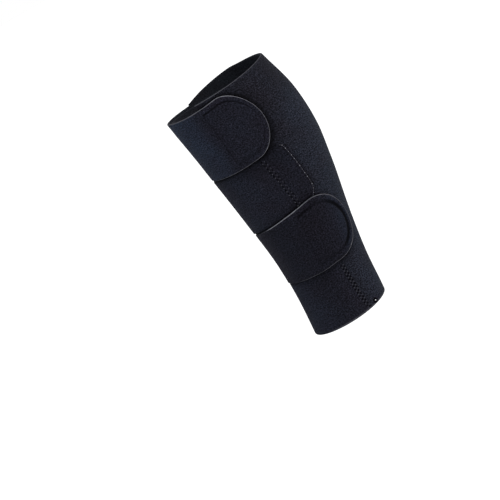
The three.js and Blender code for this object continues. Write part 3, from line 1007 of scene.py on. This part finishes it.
# Side seam: radius, rise over the cloth and length of its needle holes, dark sunken threads that are
# painted shade, and of the knots between them
LOWER_HOLE_SHADE, LOWER_KNOT = (1.35, -0.7, 2.0), (0.5, 0.02, 1.7)
MIDDLE_HOLE_SHADE, MIDDLE_KNOT = (0.9, -0.5, 1.3), (0.5, 0.1, 1.1)
SEAM_THREAD_RADIUS = 0.22
for label, low, high, behind_seam, half_width, step, hole, knot, threads in (
    ("lower", 5.3, 61.0, 1.0, 1.3, 2.15, LOWER_HOLE_SHADE, LOWER_KNOT, (dim_thread, dim_thread)),
    ("middle", 139.0, 196.5, 1.7, 1.7, 2.3, MIDDLE_HOLE_SHADE, MIDDLE_KNOT, (pale_thread, dim_thread)),
):
    run = (low, high, lambda height: seam_angle(height) + behind_seam, half_width, step, seam_surface)
    zigzag = zigzag_stitch(*run)
    piece = thread_piece(f"side_seam_stitch_{label}", *zigzag, SEAM_THREAD_RADIUS, seam_thread)
    finish_piece(piece, "smooth_face")
    for first, (side, place) in enumerate(((-1, "before"), (1, "behind"))):
        for kind, start, (radius, rise, length), thread in (
            ("knots", first, knot, threads[first]),
            # needle holes: dark threads sunk in the cloth, painted shade
            ("hole_shades", 1 - first, hole, dark_thread),
        ):
            line = seam_knots(*run, side, start, rise, length)
            piece = thread_piece(f"side_seam_{kind}_{label}_{place}", *line, radius, thread)
            finish_piece(piece, "smooth_face")

# Tabs: zigzag along the root seam and running stitch round the pad
ROOT_MARGIN, ROOT_ZIGZAG, ROOT_THREAD = 2.0, (2.1, 2.2), 0.28  # the zigzag's half width and step
PAD_PITCH, PAD_THREAD = 3.0, 0.26
root_stitch, pad_stitch = [], []
for label, tab in TABS.items():
    threads = zigzag_stitch(
        tab["low"][0] + ROOT_MARGIN, tab["high"][0] - ROOT_MARGIN, lambda height: TAB_ROOT,
        *ROOT_ZIGZAG, lambda angle, height: ON_PANEL + LAMINATE,
    )
    piece = thread_piece(f"{label}_tab_root_stitch", *threads, ROOT_THREAD, seam_thread)
    root_stitch.append(finish_piece(piece, "tab_face"))
for label, tab in TABS.items():
    threads = running_stitch(*pad_outline(tab), PAD_PITCH)
    piece = thread_piece(f"{label}_pad_stitch", *threads, PAD_THREAD, tab_thread)
    pad_stitch.append(finish_piece(piece, "tab_face"))

# Patch: stitches along its back edge with a pale knot between each two
PATCH_STITCH_PITCH, PATCH_STITCH_INSET, PATCH_STITCH_RISE = 4.7, 0.4, 0.2  # the inset is in degrees
PATCH_STITCH_ENDS, PATCH_STITCH_PLACES = (0.4, 0.3), 500  # room at top and bottom, places
KNOT_PHASE = 2.4  # from one knot to the next, in the wave that makes their radii uneven
patch_height = np.linspace(
    PATCH_HIGH - PATCH_STITCH_ENDS[0], PATCH_LOW + PATCH_STITCH_ENDS[1], PATCH_STITCH_PLACES
)
patch_angle = seam_angle(patch_height) + patch_back(patch_height) - PATCH_STITCH_INSET
patch_line = (patch_angle, patch_height, np.full_like(patch_angle, ON_PANEL + TRIM))
for label, radius, uneven, share, start, thread in (
    ("stitch", 0.3, 0.0, 0.84, 0.0, dim_thread),
    ("knots", 0.42, 0.3, 0.18, 0.4, bright_thread),
):
    threads = running_stitch(*patch_line, PATCH_STITCH_PITCH, share, start, PATCH_STITCH_RISE)
    radii = radius * (1.0 + uneven * np.sin(KNOT_PHASE * np.arange(len(threads[0]))))
    piece = thread_piece(f"side_patch_{label}", *threads, radii, thread)
    finish_piece(piece, "patch_cloth")

# Tack at the lower rim: a dark ring of thread round a white knot
TACK_ANGLE, TACK_HEIGHT, TACK_GIRTH = 129.5, 6.8, 0.62  # place, and length of one degree there
RING_REACH, RING_RISE, RING_RADIUS, RING_PLACES = 2.0, 0.1, 0.8, 25
KNOT_HALF, KNOT_LEAN, KNOT_RISE, KNOT_RADIUS = 0.7, 0.3, 0.35, 0.62
tack_turn = np.radians(np.linspace(0, 360, RING_PLACES))[None, :]
tack_angle = TACK_ANGLE + RING_REACH * np.cos(tack_turn) / TACK_GIRTH
tack_height = TACK_HEIGHT + RING_REACH * np.sin(tack_turn)
ring_depth = LAMINATE + RING_RISE
tack_ring = thread_piece("rim_tack_ring", tack_angle, tack_height, ring_depth, RING_RADIUS, dark_thread)
tack_line = np.linspace(-KNOT_HALF, KNOT_HALF, STITCH_PLACES)[None, :]
knot_angle, knot_height = TACK_ANGLE + tack_line, TACK_HEIGHT + KNOT_LEAN * tack_line
knot_depth = LAMINATE + KNOT_RISE
tack_knot = thread_piece("rim_tack_knot", knot_angle, knot_height, knot_depth, KNOT_RADIUS, white_thread)
tack = [finish_piece(tack_ring, "loop_face"), finish_piece(tack_knot, "loop_face")]


# Stage, light and camera

FLOOR_LOW, FLOOR_HALF = -0.45, 80.0  # metres
floor_finish, _, floor_shader = finish_nodes("pale_floor", roughness=0.95, specular=0.0)
floor_shader.inputs["Base Color"].default_value = (0.68, 0.68, 0.68, 1.0)
floor_corners = np.array([[-1, -1], [1, -1], [1, 1], [-1, 1]]) * FLOOR_HALF
floor_points = np.column_stack([floor_corners, np.full(4, FLOOR_LOW)]) / MM
mesh_object("floor", floor_points, np.array([[0, 1, 2, 3]]), np.zeros(1), [floor_finish])

world = bpy.data.worlds.new("studio")
bpy.context.scene.world = world
world.use_nodes = True
sky = world.node_tree.nodes["Background"].inputs
sky["Color"].default_value = (1.0, 1.0, 1.0, 1.0)
sky["Strength"].default_value = 1.0


def place_object(name, data, right, up, back, place):
    """Object at a place in metres that looks against back, with its own right and up."""
    matrix = np.eye(4)
    matrix[:3, :] = np.column_stack([right, up, back, place])
    made = bpy.data.objects.new(name, data)
    bpy.context.scene.collection.objects.link(made)
    made.matrix_world = Matrix(matrix.tolist())
    return made


CAMERA_RISE, CAMERA_ROLL = math.radians(10.6), math.radians(30.0)
CAMERA_AIM = np.array([-58.8, 0.0, 113.7])
CAMERA_FAR, MM_PER_PIXEL, PHOTO_PIXELS = 1900.0, 1.05, 500
back = np.array([0.0, -math.cos(CAMERA_RISE), math.sin(CAMERA_RISE)])
level_right = np.array([1.0, 0.0, 0.0])
level_up = np.array([0.0, math.sin(CAMERA_RISE), math.cos(CAMERA_RISE)])
right = level_right * math.cos(CAMERA_ROLL) - level_up * math.sin(CAMERA_ROLL)
up = level_right * math.sin(CAMERA_ROLL) + level_up * math.cos(CAMERA_ROLL)
lens = bpy.data.cameras.new("camera")
lens.sensor_width = 36.0
lens.lens = lens.sensor_width * CAMERA_FAR / MM_PER_PIXEL / PHOTO_PIXELS
lens.clip_start, lens.clip_end = 0.05, 300.0
camera_place = (CAMERA_AIM + back * CAMERA_FAR) * MM
bpy.context.scene.camera = place_object("camera", lens, right, up, back, camera_place)
bpy.context.scene.view_settings.view_transform = "Standard"
SUN_FAR = 3.0  # metres


def sun(name, energy, spread, colour, towards, level):
    """Soft sun in a direction; its right lies across that direction and a level one."""
    light = bpy.data.lights.new(name, "SUN")
    light.energy = energy
    light.angle = math.radians(spread)
    light.color = colour
    sun_back = towards / np.linalg.norm(towards)
    sun_right = np.cross(level, sun_back)
    sun_right /= np.linalg.norm(sun_right)
    place_object(name, light, sun_right, np.cross(sun_back, sun_right), sun_back, sun_back * SUN_FAR)


# Key light from the upper left of the picture and from the viewer's side, and a weak cool one from
# the shin side, both wide enough for soft shadows.
key_towards = 0.78 * up - 0.12 * right + 0.62 * back
sun("key", 3.0, 30.0, (1.0, 1.0, 1.0), key_towards, (0.0, 1.0, 0.0))
sun("side", 0.6, 40.0, (0.5, 0.78, 1.0), np.array([-0.92, -0.35, 0.15]), (0.0, 0.0, 1.0))
